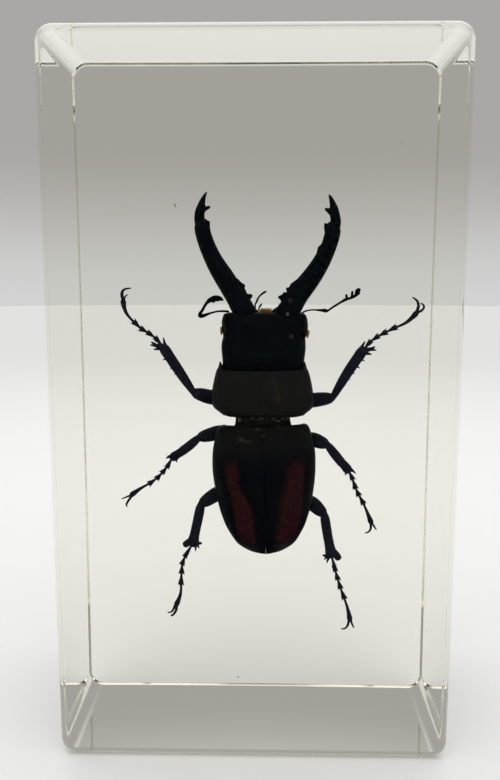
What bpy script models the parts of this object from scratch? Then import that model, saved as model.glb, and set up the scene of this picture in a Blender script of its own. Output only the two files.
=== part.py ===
"""A stag beetle cast in a clear resin block.

Metres, +Z up. The block stands on a narrow end with the middle of its base at
the origin. The beetle's back faces -Y and its head is up. Places on the beetle
are in millimetres from its waist: across, depth (away from the viewer) and up.
"""

import math

import bmesh
import bpy
from mathutils import Matrix, Vector

MM = 0.001

# Block
BLOCK_WIDTH = 60 * MM
BLOCK_HEIGHT = 108 * MM
BLOCK_DEPTH = 36 * MM
CORNER_RADIUS = 2.5 * MM
RIM_RADIUS = 1.5 * MM
ROUNDING_STEPS = 3

# The block is parted in the plane in which the beetle's legs lie
PARTING_Y = 1.0 * MM
GAP = 0.3 * MM
BODY_CLEARANCE = 0.9
LIMB_CLEARANCE = 0.9
TOOTH_CLEARANCE = 1.2
TIP_CLEARANCE = 1.0
CLAW_CLEARANCE = 1.6

# Beetle
WAIST = Vector((1.5, 0.0, 51.0)) * MM
BODY_SIDES = 20
POCKET_SIDES = 12
BODY_SQUARENESS = 2.3
SHELL = 0.45
SHELL_EDGE_DEPTH = 0.3
BELLY_CLEARANCE = 0.5
ELYTRON_STEPS = 6

# Sections across the body: up, middle, half width, depth in front, depth behind
HEAD = (
    (8.6, 0.0, 5.2, 1.8, 1.6),
    (9.1, -0.1, 5.9, 2.2, 2.1),
    (10.2, -0.1, 6.4, 2.6, 2.4),
    (12.4, -0.1, 6.55, 2.8, 2.5),
    (13.9, 0.0, 6.5, 2.8, 2.5),
    (15.0, 0.1, 6.85, 2.6, 2.4),
    (16.3, 0.1, 6.7, 2.4, 2.2),
    (17.3, 0.1, 6.0, 2.0, 1.9),
    (17.6, 0.1, 5.4, 1.6, 1.5),
)
PRONOTUM = (
    (0.95, -0.15, 5.6, 1.9, 1.6),
    (1.4, -0.3, 7.0, 2.6, 2.1),
    (2.3, -0.4, 7.85, 3.1, 2.5),
    (4.0, -0.3, 7.95, 3.5, 2.7),
    (5.6, -0.25, 7.85, 3.5, 2.7),
    (7.3, -0.2, 7.3, 3.2, 2.6),
    (8.3, -0.2, 6.85, 2.8, 2.3),
    (8.25, -0.2, 6.3, 2.2, 1.8),
)
FRONT_CORNER_RISE = 1.0
FRONT_CORNER_START = 6.35
NECK = (
    (0.65, 0.0, 4.0, 1.5, 1.4),
    (-1.0, 0.0, 4.6, 1.5, 1.9),
)
# The outside of the wing cases, with the depth of the belly behind them
WING_CASES = (
    (-0.55, 0.0, 6.2, 2.5, 1.9),
    (-0.9, 0.0, 7.1, 3.0, 2.1),
    (-1.6, 0.0, 7.7, 3.4, 2.4),
    (-3.3, 0.0, 7.9, 3.8, 2.7),
    (-6.0, 0.0, 8.2, 3.95, 2.9),
    (-8.5, 0.05, 8.25, 3.95, 2.9),
    (-11.4, 0.1, 7.95, 3.8, 2.8),
    (-14.0, 0.25, 7.3, 3.5, 2.6),
    (-16.6, 0.4, 6.4, 3.0, 2.3),
    (-18.8, 0.5, 5.25, 2.5, 1.9),
    (-20.6, 0.5, 3.8, 1.9, 1.4),
    (-21.7, 0.5, 2.2, 1.3, 0.9),
    (-22.2, 0.5, 0.9, 0.8, 0.5),
)
BELLY_TIP = (-21.4, 0.5, 1.5, 0.2, 0.7)

# Mandible, drawn for the right side: outward, up, radius
MANDIBLE = (
    (2.9, 16.6, 2.1),
    (4.0, 18.7, 1.5),
    (4.7, 20.2, 1.48),
    (5.75, 21.9, 1.5),
    (6.85, 23.7, 1.4),
    (7.95, 25.6, 1.28),
    (9.0, 27.9, 1.2),
    (9.55, 29.8, 1.17),
    (9.8, 31.0, 1.12),
    (10.1, 31.5, 0.82),
    (10.0, 32.6, 0.72),
    (9.7, 33.9, 0.54),
    (9.3, 34.8, 0.36),
    (8.85, 35.5, 0.12),
)
MANDIBLE_BASE = 17.95
MANDIBLE_DEPTHS = (-0.6, 0.3)
MANDIBLE_SPREAD = {"left": 0.0, "right": math.radians(3.2)}
# Teeth on its inner edge: foot and tip, each outward and up, then foot radius
MANDIBLE_TEETH = (
    ((9.8, 33.3), (8.35, 33.3), 0.5),
    ((9.6, 30.6), (8.45, 31.25), 0.45),
    ((5.6, 22.3), (3.6, 21.4), 0.5),
    ((5.1, 21.3), (3.1, 20.8), 0.45),
    ((4.7, 20.6), (2.75, 20.2), 0.45),
    ((4.3, 20.0), (1.95, 19.8), 0.65),
)
# Palps, under the mandibles: across, depth and up
PALPS = (
    ((-1.3, 1.3, 17.2), (-1.2, 2.0, 18.8), (0.25, 1.8, 20.4)),
    ((-0.5, 1.3, 17.2), (-0.35, 1.8, 18.3), (-0.1, 1.8, 18.9)),
)
PALP_RADIUS = 0.22
PALP_ROOM = ((-0.6, 1.5, 17.0), (-0.5, 1.9, 21.2))
PALP_ROOM_RADIUS = 1.5

# Antennae: across and up of the foot, elbow, start and end of the club
ANTENNAE = {
    "left": ((-6.5, 17.45), (-8.0, 17.25), (-10.2, 16.6), (-8.6, 19.0), (-6.3, 19.2)),
    "right": ((6.75, 17.45), (9.3, 17.4), (10.0, 17.35), (12.4, 19.1), (14.9, 20.5)),
}
ANTENNA_RADIUS = 0.2
ANTENNA_DEPTH = 0.6
CLUB_LEAVES = 4
CLUB_LEAF = 0.75
CLUB_LEAF_RADIUS = 0.24
CLUB_LEAF_LEAN = 0.5
ANTENNA_ROOM_RADII = (0.1, 0.0, 0.1, 0.4, 0.4)

# Legs: across and up of the side of the body, knee, shin, ankle, then the five
# joints of the foot
LEGS = {
    "leg_front_left": (
        (-8.3, 3.75), (-11.3, 4.4), (-13.3, 7.4), (-15.9, 11.6),
        (-17.15, 13.2), (-18.2, 14.05), (-19.25, 14.65), (-20.35, 15.65), (-22.1, 19.2)),
    "leg_front_right": (
        (7.65, 3.4), (10.8, 3.7), (12.9, 7.4), (15.4, 11.4),
        (16.65, 12.7), (17.75, 13.55), (18.95, 14.25), (20.45, 15.0), (23.6, 17.2)),
    "leg_middle_left": (
        (-7.2, -2.0), (-10.4, -2.8), (-12.4, -4.6), (-14.7, -6.4),
        (-15.5, -7.75), (-16.3, -8.7), (-17.15, -9.65), (-18.4, -10.55), (-21.6, -12.65)),
    "leg_middle_right": (
        (7.75, -3.0), (10.2, -3.8), (11.9, -6.0), (13.5, -8.0),
        (14.25, -9.5), (14.7, -11.0), (15.25, -12.15), (16.0, -13.5), (17.4, -17.0)),
    "leg_hind_left": (
        (-7.65, -12.2), (-10.2, -13.8), (-10.9, -17.0), (-11.6, -20.6),
        (-12.75, -22.7), (-13.25, -24.0), (-13.45, -25.5), (-13.6, -27.4), (-14.4, -31.2)),
    "leg_hind_right": (
        (7.75, -13.5), (10.0, -15.3), (10.6, -18.6), (11.3, -22.3),
        (11.7, -24.9), (12.1, -26.3), (12.55, -27.8), (13.2, -29.55), (14.25, -33.4)),
}
HIP_ACROSS = 2.9
HIP_RISE = {"front": -0.6, "middle": 0.2, "hind": 3.2}
LEG_SIDES = 8
THIGH_DEPTHS = (4.3, 3.9, 2.9)
THIGH_RADII = (0.95, 1.1, 1.15)
KNEE = (1.6, 0.8)
SHIN = (1.5, 0.6)
ANKLE = (1.4, 0.75)
FOOT_DEPTH = 1.3
# Each joint of the foot is a bead: share of its length and radius at both ends
FOOT_WAIST = (0.3, 0.2)
FOOT_BEAD = (0.85, 0.38)
LAST_JOINT_RADIUS = 0.3
FOOT_ROOM_RADII = (0.35, 0.3, 0.3, 0.7)
CLAW_LENGTH = 1.3
CLAW_RADIUS = 0.17
CLAW_SPLAY = math.radians(38)
# Shin spines: how far down the shin, length
SHIN_SPINES = {
    "front": ((0.3, 0.5), (0.48, 0.6), (0.66, 0.7), (0.84, 0.8)),
    "middle": ((0.6, 0.7),),
    "hind": ((0.55, 0.5),),
}
SPINE_RADIUS = 0.3
SPINE_LEAN = 0.5
SPUR_LENGTH = 1.2
SPUR_RADIUS = 0.35
THORN_TIP_RADIUS = 0.04
SPUR_SPLAY = math.radians(28)

COLOURS = {
    "resin": (0.90, 0.92, 0.90),
    "black": (0.012, 0.010, 0.009),
    "brown": (0.035, 0.018, 0.012),
    "red": (0.16, 0.012, 0.010),
}


def clear_scene():
    for obj in list(bpy.data.objects):
        bpy.data.objects.remove(obj, do_unlink=True)


def new_collection(name):
    group = bpy.data.collections.new(name)
    bpy.context.scene.collection.children.link(group)
    return group


def new_material(name, colour, roughness, transmission=0.0):
    material = bpy.data.materials.new(name)
    material.use_nodes = True
    shader = material.node_tree.nodes["Principled BSDF"]
    shader.inputs["Base Color"].default_value = (*colour, 1.0)
    shader.inputs["Roughness"].default_value = roughness
    shader.inputs["Metallic"].default_value = 0.0
    shader.inputs["Transmission Weight"].default_value = transmission
    shader.inputs["IOR"].default_value = 1.5
    return material


def spot(across, depth, up):
    """A place on the beetle, in metres from its waist."""
    return Vector((across, depth, up)) * MM


def add_object(name, mesh, group, parent=None):
    obj = bpy.data.objects.new(name, mesh)
    group.objects.link(obj)
    obj.parent = parent
    return obj


def finish(obj, material):
    obj.data.materials.clear()
    obj.data.materials.append(material)
    obj.data.shade_smooth()
    obj.data.set_sharp_from_angle(angle=math.radians(40))
    return obj


def mesh_from(bm, name):
    """A mesh from a closed form, with its faces turned outward."""
    bmesh.ops.recalc_face_normals(bm, faces=bm.faces)
    if bm.calc_volume(signed=True) < 0:
        bmesh.ops.reverse_faces(bm, faces=bm.faces)
    mesh = bpy.data.meshes.new(name)
    bm.to_mesh(mesh)
    bm.free()
    return mesh


def baked(obj):
    """Replace an object, curve or mesh, by the plain mesh that it evaluates to."""
    bpy.context.view_layer.update()
    evaluated = obj.evaluated_get(bpy.context.evaluated_depsgraph_get())
    mesh = bpy.data.meshes.new_from_object(evaluated)
    bm = bmesh.new()
    bm.from_mesh(mesh)
    bmesh.ops.remove_doubles(bm, verts=bm.verts, dist=0.001 * MM)
    bmesh.ops.recalc_face_normals(bm, faces=bm.faces)
    bm.to_mesh(mesh)
    bm.free()
    name, group, parent = obj.name, obj.users_collection[0], obj.parent
    place = obj.matrix_world.copy()
    bpy.data.objects.remove(obj, do_unlink=True)
    result = add_object(name, mesh, group, parent)
    bpy.context.view_layer.update()
    result.matrix_world = place
    return result


def tube(name, points, radii, group, parent, sides=LEG_SIDES):
    """A round limb along points, as thick at each as its radius in millimetres."""
    curve = bpy.data.curves.new(name, "CURVE")
    curve.dimensions = "3D"
    curve.bevel_depth = MM
    curve.bevel_resolution = sides // 2 - 2
    curve.use_fill_caps = True
    spline = curve.splines.new("POLY")
    spline.points.add(len(points) - 1)
    for knot, point, radius in zip(spline.points, points, radii):
        knot.co = (*point, 1.0)
        knot.radius = radius
    return baked(add_object(name, curve, group, parent))


def thorn(foot, tip, radius, group, parent):
    """A pointed cone from foot to tip, for a tooth, spine or spur."""
    axis = tip - foot
    bm = bmesh.new()
    bmesh.ops.create_cone(
        bm, cap_ends=True, segments=6, radius1=radius * MM, radius2=THORN_TIP_RADIUS * MM,
        depth=axis.length,
        matrix=Matrix.Translation((foot + tip) / 2) @ axis.to_track_quat("Z", "Y").to_matrix().to_4x4())
    return add_object("thorn", mesh_from(bm, "thorn"), group, parent)


def fused(obj, extras, solver="EXACT"):
    """Join extras to an object in one closed skin."""
    for extra in extras:
        union = obj.modifiers.new("union", "BOOLEAN")
        union.operation = "UNION"
        union.solver = solver
        union.object = extra
    result = baked(obj)
    for extra in extras:
        bpy.data.objects.remove(extra, do_unlink=True)
    return result


def beyond(end, before, by):
    """A point past the end of a line, by this many millimetres."""
    return end + (end - before).normalized() * by * MM


def cut_off(bm, place, away):
    """Cut a closed form flat at a place and drop what lies on the away side."""
    cut = bmesh.ops.bisect_plane(
        bm, geom=bm.verts[:] + bm.edges[:] + bm.faces[:], dist=0.001 * MM,
        plane_co=place, plane_no=away, clear_outer=True)
    rim = [item for item in cut["geom_cut"] if isinstance(item, bmesh.types.BMEdge)]
    for edge in rim:
        for vertex in edge.verts:
            vertex.co -= away * (vertex.co - place).dot(away)
    bmesh.ops.holes_fill(bm, edges=rim)


def section(sides, up, middle, half, front, behind):
    """One ring of the body, a rounded oval in the plane at this height."""
    ring = []
    for i in range(sides):
        turn = 2 * math.pi * i / sides
        wide = math.copysign(abs(math.cos(turn)) ** (2 / BODY_SQUARENESS), math.cos(turn))
        deep = math.copysign(abs(math.sin(turn)) ** (2 / BODY_SQUARENESS), math.sin(turn))
        ring.append(spot(middle + half * wide, deep * (behind if deep > 0 else front), up))
    return ring


def loft(name, sections, group, parent, sides=BODY_SIDES):
    bm = bmesh.new()
    loops = [[bm.verts.new(point) for point in section(sides, *values)] for values in sections]
    for first, second in zip(loops, loops[1:]):
        for i in range(sides):
            j = (i + 1) % sides
            bm.faces.new((first[i], first[j], second[j], second[i]))
    bm.faces.new(loops[0])
    bm.faces.new(loops[-1])
    return add_object(name, mesh_from(bm, name), group, parent)


def grown(sections, by):
    """The same sections, larger by this clearance all round and at both ends."""
    result = [[up, middle, half + by, front + by, behind + by]
              for up, middle, half, front, behind in sections]
    down = 1 if sections[0][0] < sections[-1][0] else -1
    result[0][0] -= down * by
    result[-1][0] += down * by
    return result


def make_head(group, parent, material):
    head = loft("head", HEAD, group, parent)
    palps = []
    for path in PALPS:
        points = [spot(*place) for place in path]
        palps.append(tube("palp", points, [PALP_RADIUS] * 3, group, parent, sides=6))
    return finish(fused(head, palps), material)


def make_pronotum(group, parent, material):
    pronotum = loft("pronotum", PRONOTUM, group, parent)
    front_up, middle, front_half, _, _ = PRONOTUM[-2]
    for vertex in pronotum.data.vertices:
        if abs(vertex.co.z / MM - front_up) < 0.01:
            outward = abs(vertex.co.x / MM - middle) - FRONT_CORNER_START
            share = max(outward, 0.0) / (front_half - FRONT_CORNER_START)
            vertex.co.z += FRONT_CORNER_RISE * MM * share
    return finish(pronotum, material)


def make_hindbody(group, parent, material):
    """Neck, thorax and belly, with room above for the wing cases."""
    inset = SHELL + BELLY_CLEARANCE
    belly = [(up, middle, half - inset, front - inset, behind)
             for up, middle, half, front, behind in WING_CASES[2:-2]]
    return finish(loft("hindbody", (*NECK, *belly, BELLY_TIP), group, parent), material)


def make_elytron(side, group, parent, material):
    """One wing case: an arched sheet from the suture to the edge of the body."""
    sign = -1 if side == "left" else 1
    bm = bmesh.new()
    rows = len(WING_CASES) - 1
    bmesh.ops.create_grid(bm, x_segments=ELYTRON_STEPS, y_segments=rows, size=0.5)
    for vertex in bm.verts:
        turn = (vertex.co.x + 0.5) * math.pi / 2
        up, middle, half, front, _ = WING_CASES[round((vertex.co.y + 0.5) * rows)]
        suture = GAP / MM / 2
        wide = math.sin(turn) ** (2 / BODY_SQUARENESS)
        high = max(math.cos(turn), 0.0) ** (2 / BODY_SQUARENESS)
        across = middle + sign * (suture + (half - suture) * wide)
        depth = SHELL_EDGE_DEPTH - (front + SHELL_EDGE_DEPTH) * high
        vertex.co = spot(across, depth, up)
    bm.normal_update()
    if sum(face.normal.y for face in bm.faces) > 0:
        bmesh.ops.reverse_faces(bm, faces=bm.faces)
    mesh = bpy.data.meshes.new("elytron_" + side)
    bm.to_mesh(mesh)
    bm.free()
    elytron = add_object("elytron_" + side, mesh, group, parent)
    shell = elytron.modifiers.new("shell", "SOLIDIFY")
    shell.thickness = SHELL * MM
    shell.offset = -1.0
    return finish(elytron, material)


def mandible_place(side):
    """A mandible swung outward about its hinge by its spread."""
    sign = -1 if side == "left" else 1
    hinge = spot(sign * MANDIBLE[0][0], 0.0, MANDIBLE_BASE)
    turn = Matrix.Rotation(sign * MANDIBLE_SPREAD[side], 4, "Y")
    return Matrix.Translation(hinge) @ turn @ Matrix.Translation(-hinge)


def mandible_path(side):
    sign = -1 if side == "left" else 1
    base, tip = MANDIBLE_DEPTHS
    points = []
    for outward, up, _ in MANDIBLE:
        along = (up - MANDIBLE[0][1]) / (MANDIBLE[-1][1] - MANDIBLE[0][1])
        points.append(spot(sign * outward, base + (tip - base) * along, up))
    return points


def make_mandible(side, group, parent, material):
    sign = -1 if side == "left" else 1
    points = mandible_path(side)
    radii = [radius for _, _, radius in MANDIBLE]
    horn = tube("mandible_" + side, points, radii, group, parent, sides=10)
    teeth = []
    for foot, tip, radius in MANDIBLE_TEETH:
        nearest = min(points, key=lambda point: abs(point.z - foot[1] * MM))
        depth = nearest.y / MM
        teeth.append(thorn(spot(sign * foot[0], depth, foot[1]),
                           spot(sign * tip[0], depth, tip[1]), radius, group, parent))
    horn = fused(horn, teeth)
    horn.data.transform(mandible_place(side))
    bm = bmesh.new()
    bm.from_mesh(horn.data)
    cut_off(bm, spot(0.0, 0.0, MANDIBLE_BASE), Vector((0.0, 0.0, -1.0)))
    horn.data = mesh_from(bm, horn.name)
    return finish(horn, material)


def antenna_path(side):
    return [spot(across, ANTENNA_DEPTH, up) for across, up in ANTENNAE[side]]


def make_antenna(side, group, parent, material):
    """An elbowed feeler whose club carries a comb of short leaves."""
    points = antenna_path(side)
    start, end = points[-2:]
    along = (end - start).normalized()
    aside = Vector((-along.z, 0.0, along.x))
    feeler = tube("antenna_" + side, points, [ANTENNA_RADIUS] * len(points),
                  group, parent, sides=6)
    leaves = []
    for i in range(CLUB_LEAVES):
        foot = start.lerp(end, (i + 0.5) / CLUB_LEAVES)
        tip = foot + (aside + along * CLUB_LEAF_LEAN) * CLUB_LEAF * MM
        leaves.append(thorn(foot, tip, CLUB_LEAF_RADIUS, group, parent))
    return finish(fused(feeler, leaves), material)


def leg_path(name):
    """Points and radii of a leg, from the hip under the body to the last joint."""
    pair = name.split("_")[1]
    side, knee, shin, ankle, *foot = LEGS[name]
    sign = math.copysign(1.0, side[0])
    hip_up = side[1] + HIP_RISE[pair]
    middle_up = side[1] + HIP_RISE[pair] * 0.4
    points = [
        spot(sign * HIP_ACROSS, THIGH_DEPTHS[0], hip_up),
        spot(sign * (HIP_ACROSS + abs(side[0])) / 2, THIGH_DEPTHS[1], middle_up),
        spot(side[0], THIGH_DEPTHS[2], side[1]),
        spot(knee[0], KNEE[0], knee[1]),
        spot(shin[0], SHIN[0], shin[1]),
        spot(ankle[0], ANKLE[0], ankle[1]),
    ]
    radii = [*THIGH_RADII, KNEE[1], SHIN[1], ANKLE[1]]
    return points, radii, [spot(across, FOOT_DEPTH, up) for across, up in foot]


def make_leg(name, group, parent, material):
    pair = name.split("_")[1]
    points, radii, joints = leg_path(name)
    knee, shin, ankle = points[3:6]
    for last, joint in zip([ankle, *joints], joints):
        for share, radius in (FOOT_WAIST, FOOT_BEAD):
            points.append(last.lerp(joint, share))
            radii.append(radius)
    radii[-1] = LAST_JOINT_RADIUS
    leg = tube(name, points, radii, group, parent)

    extras = []
    outside = Vector((-(ankle - knee).z, 0.0, (ankle - knee).x)).normalized()
    if outside.x * knee.x < 0:
        outside = -outside
    down = (ankle - shin).normalized()
    for along, length in SHIN_SPINES[pair]:
        foot = knee.lerp(shin, along * 2) if along < 0.5 else shin.lerp(ankle, along * 2 - 1)
        tip = foot + (outside + down * SPINE_LEAN).normalized() * (SHIN[1] + length) * MM
        extras.append(thorn(foot, tip, SPINE_RADIUS, group, parent))
    for turn in (SPUR_SPLAY, -SPUR_SPLAY):
        way = Matrix.Rotation(turn, 3, "Y") @ down
        foot = ankle + way * 0.2 * MM
        extras.append(thorn(foot, foot + way * SPUR_LENGTH * MM, SPUR_RADIUS, group, parent))
    last = points[-1]
    ahead = (last - points[-2]).normalized()
    for turn in (CLAW_SPLAY, -CLAW_SPLAY):
        way = Matrix.Rotation(turn, 3, "Y") @ ahead
        foot = last + (way - ahead * 1.4) * 0.2 * MM
        extras.append(thorn(foot, last + way * CLAW_LENGTH * MM, CLAW_RADIUS, group, parent))
    return finish(fused(leg, extras), material)


def make_pocket(group, parent):
    """One cutter, a little larger all round than the beetle."""
    pieces = []
    corners = (PRONOTUM[-2][0] + FRONT_CORNER_RISE, *PRONOTUM[-2][1:])
    for sections in (HEAD[::2], PRONOTUM[:-1:2] + (corners,), NECK[:1] + WING_CASES[::2]):
        pieces.append(loft("pocket_body", grown(sections, BODY_CLEARANCE), group, parent,
                           sides=POCKET_SIDES))
    for side in ("left", "right"):
        points = mandible_path(side)
        points = points[:1] + points[1::2]
        points[-1] = beyond(points[-1], points[-2], TIP_CLEARANCE)
        radii = [radius for _, _, radius in MANDIBLE[:1] + MANDIBLE[1::2]]
        horn = tube("pocket_mandible", points, [radius + TOOTH_CLEARANCE for radius in radii],
                    group, parent)
        horn.data.transform(mandible_place(side))
        points = antenna_path(side)
        points[-1] = beyond(points[-1], points[-2], TIP_CLEARANCE)
        radii = [radius + LIMB_CLEARANCE for radius in ANTENNA_ROOM_RADII]
        feeler = tube("pocket_antenna", points, radii, group, parent, sides=6)
        pieces += [horn, feeler]
    for name in LEGS:
        points, radii, joints = leg_path(name)
        points[0] = beyond(points[0], points[1], TIP_CLEARANCE)
        points += [points[-1].lerp(joints[0], 0.8), joints[2], joints[-2],
                   beyond(joints[-1], joints[-2], CLAW_CLEARANCE)]
        radii += FOOT_ROOM_RADII
        pieces.append(tube("pocket_leg", points, [radius + LIMB_CLEARANCE for radius in radii],
                           group, parent, sides=6))
    room = [spot(*place) for place in PALP_ROOM]
    pieces.append(tube("pocket_palps", room, [PALP_ROOM_RADIUS] * 2, group, parent, sides=6))
    pocket = fused(pieces[0], pieces[1:], solver="MANIFOLD")
    pocket.name = "pocket"
    pocket.hide_render = True
    pocket.display_type = "WIRE"
    return pocket


def rounded_block():
    """The whole block: a prism with round corners, whose two faces rise in
    ever narrower steps that follow the quarter circle of the rim."""
    bm = bmesh.new()
    bmesh.ops.create_cube(bm, size=1.0)
    sides_depth = BLOCK_DEPTH - 2 * RIM_RADIUS
    bmesh.ops.scale(bm, vec=(BLOCK_WIDTH, sides_depth, BLOCK_HEIGHT), verts=bm.verts)
    bmesh.ops.translate(bm, vec=(0.0, 0.0, BLOCK_HEIGHT / 2), verts=bm.verts)
    corners = [edge for edge in bm.edges
               if abs(edge.verts[0].co.y - edge.verts[1].co.y) > sides_depth / 2]
    bmesh.ops.bevel(bm, geom=corners, offset=CORNER_RADIUS, segments=ROUNDING_STEPS,
                    profile=0.5, affect="EDGES")
    faces = [face for face in bm.faces if abs(face.normal.y) > 0.5]
    turn = math.pi / 2 / ROUNDING_STEPS
    for i in range(ROUNDING_STEPS):
        inward = RIM_RADIUS * (math.cos(i * turn) - math.cos((i + 1) * turn))
        outward = RIM_RADIUS * (math.sin((i + 1) * turn) - math.sin(i * turn))
        bmesh.ops.inset_region(bm, faces=faces, thickness=inward, depth=outward,
                               use_even_offset=True, use_boundary=True)
    return bm


def make_block_half(name, toward, group, pocket, material):
    """The block on one side of the parting plane, hollowed for the beetle."""
    bm = rounded_block()
    cut_off(bm, Vector((0.0, PARTING_Y + toward * GAP / 2, 0.0)), Vector((0.0, -toward, 0.0)))
    half = add_object(name, mesh_from(bm, name), group)
    hollow = half.modifiers.new("pocket", "BOOLEAN")
    hollow.operation = "DIFFERENCE"
    hollow.solver = "MANIFOLD"
    hollow.object = pocket
    return finish(half, material)


def main():
    clear_scene()
    parts = new_collection("stag_beetle_in_resin_block")
    cutters = new_collection("cutters")
    resin = new_material("clear_resin", COLOURS["resin"], 0.03, 1.0)
    black = new_material("black_chitin", COLOURS["black"], 0.3)
    brown = new_material("brown_black_chitin", COLOURS["brown"], 0.35)
    red = new_material("dark_red_chitin", COLOURS["red"], 0.3)

    beetle = add_object("beetle", None, parts)
    beetle.location = WAIST
    bpy.context.view_layer.update()
    make_head(parts, beetle, black)
    make_pronotum(parts, beetle, brown)
    make_hindbody(parts, beetle, black)
    for side in ("left", "right"):
        make_mandible(side, parts, beetle, black)
        make_antenna(side, parts, beetle, black)
        make_elytron(side, parts, beetle, red)
    for name in LEGS:
        make_leg(name, parts, beetle, black)

    pocket = make_pocket(cutters, beetle)
    make_block_half("block_front", -1, parts, pocket, resin)
    make_block_half("block_back", 1, parts, pocket, resin)


main()
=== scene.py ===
"""Looks of a stag beetle cast in a clear resin block."""

import math
import random

import bmesh
import bpy
from mathutils import Matrix, Vector


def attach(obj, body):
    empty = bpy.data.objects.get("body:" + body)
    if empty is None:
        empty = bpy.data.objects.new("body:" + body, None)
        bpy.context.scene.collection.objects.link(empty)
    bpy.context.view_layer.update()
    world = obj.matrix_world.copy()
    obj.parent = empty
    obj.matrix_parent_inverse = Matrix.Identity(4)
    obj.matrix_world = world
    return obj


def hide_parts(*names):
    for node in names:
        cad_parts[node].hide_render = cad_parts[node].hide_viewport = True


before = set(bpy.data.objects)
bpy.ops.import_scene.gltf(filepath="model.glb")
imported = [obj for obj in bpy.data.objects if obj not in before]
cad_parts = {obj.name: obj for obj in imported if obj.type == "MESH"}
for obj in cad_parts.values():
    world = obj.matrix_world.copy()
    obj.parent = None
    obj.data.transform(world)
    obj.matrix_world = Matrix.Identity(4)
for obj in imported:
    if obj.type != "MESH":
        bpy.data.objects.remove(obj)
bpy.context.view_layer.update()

MM = 0.001

# Camera, fitted to the edges of the block
CAMERA_AT = Vector((1.8254, -129.5274, 75.1247)) * MM
CAMERA_YAW = -0.0206292
CAMERA_PITCH = 0.1547030
CAMERA_ROLL = 0.0005268
FOCAL_PIXELS = 785.889
PIXELS_HIGH = 780
SENSOR = 36.0
NEAR_CLIP, FAR_CLIP = 0.01, 50.0

# Light turns at many walls of the block before it leaves
BOUNCES = 32

# Block
WIDTH = 60 * MM
HEIGHT = 108 * MM
DEPTH = 36 * MM
CORNER_RADIUS = 2.5 * MM
FRONT_RIM = 1.5 * MM
REAR_RIM = 0.5 * MM
ROUND_STEPS = 14
FLATNESS = 100
RESIN_IOR = 1.5
RESIN_ABSORPTION = ((0.72, 0.72, 0.54), 10.0)
RESIN_GLARE = 0.0

# Studio: floor tones near and far, a painted falloff of light away from the block, and soft light by the sine
# of its elevation
FLOOR_RADIUS = 1.5
FLOOR_SIDES = 96
FLOOR_ROUGHNESS = 0.55
FLOOR_GAP = 0.05 * MM
FLOOR_PAINTED_NEAR = (0.90, 0.90, 0.90)
FLOOR_PAINTED_FAR = (0.75, 0.75, 0.75)
FLOOR_PAINTED_FALLOFF = (0.15, 0.60)
WORLD_SCALE = 1.5
STUDIO = (
    (-0.05, (0.65, 0.65, 0.65)),
    (0.15, (0.40, 0.39, 0.38)),
    (0.50, (0.40, 0.39, 0.38)),
    (0.75, (1.50, 1.50, 1.50)),
)

# Beetle: places in millimetres from its waist, across, depth and up
WAIST = Vector((1.5, 0.0, 51.0))
# Where the line of sight runs straight back, and its length with the bend in the resin
SIGHT_ACROSS, SIGHT_UP, SIGHT_LENGTH = 0.3, 24.1, 185.0
SHARP_ANGLE = math.radians(75)
# Voxel size and rounds of smoothing for the skin of each part
JAW_SKIN = (0.07, 6)
HEAD_SKIN = (0.11, 3)
BODY_SKIN = (0.12, 2)
ANTENNA_SKIN = (0.045, 3)

# Shells: the dark and the light tone of a fine mottle, under fine pits
CHITIN_SHINE = 0.03
SHEEN = (0.28, 0.42)
MOTTLE_SCALE = 900.0
MOTTLE_DETAIL = 4.0
PIT_SIZE = 0.16
PIT_SHARE = 0.45
PIT_DEPTH = 0.05
PIT_STRENGTH = 0.5
BLACK_TONES = ((0.0025, 0.0048, 0.0073), (0.0037, 0.0065, 0.0098))
BROWN_TONES = ((0.0140, 0.0140, 0.0148), (0.0176, 0.0174, 0.0182))
BROWN_SHEEN = (0.4, 0.55)
LIMB_TONES = ((0.0120, 0.0145, 0.0240), (0.0200, 0.0230, 0.0380))
WING_TONES = ((0.0019, 0.0028, 0.0046), (0.0033, 0.0044, 0.0074))
# Trims of the head, in the order of their material slots after the shell
EYE, BRUSH, AMBER, PAINTED_GLINT = 1, 2, 3, 4
TRIMS = {
    "eye": ((0.004, 0.004, 0.003), (0.012, 0.011, 0.006)),
    "brush": ((0.3, 0.12, 0.04), (0.55, 0.26, 0.09)),
    "amber": ((0.42, 0.17, 0.03), (0.6, 0.3, 0.07)),
    # The light tone of the glint trim is a painted highlight beside each eye
    "painted_glint": ((0.006, 0.007, 0.005), (0.026, 0.026, 0.017)),
}
# Dull specks, in the order of their material slots; film also makes painted glints, silver is a painted
# reflection on trapped air
SPECKS = {
    "crumb": (0.034, 0.02, 0.012),
    "air_film_and_painted_glint": (0.02, 0.02, 0.017),
    "trapped_air_painted_silver": (0.10, 0.10, 0.09),
    "lint": (0.12, 0.09, 0.06),
}
LINT_SLOT = 3
SPECK_SCALE = 2500.0
SPECK_THICKNESS = 0.06

# Rings of the body: up, middle, half width, reach to the front and reach to the back
SQUARENESS = 2.3
HEAD = (
    (7.7, -0.1, 5.9, 1.6, 1.8),
    (8.3, -0.15, 6.45, 2.0, 2.1),
    (9.3, -0.12, 6.45, 2.4, 2.3),
    (10.5, -0.1, 6.56, 2.7, 2.4),
    (11.5, -0.1, 6.66, 2.8, 2.5),
    (12.4, -0.08, 6.62, 2.8, 2.5),
    (13.4, 0.02, 6.5, 2.8, 2.5),
    (14.6, 0.12, 6.74, 2.7, 2.4),
    (15.6, 0.08, 6.76, 2.5, 2.3),
    (16.3, 0.08, 6.64, 2.3, 2.1),
    (16.9, 0.05, 6.35, 2.0, 1.8),
    (17.15, 0.08, 5.7, 1.5, 1.5),
)
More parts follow.
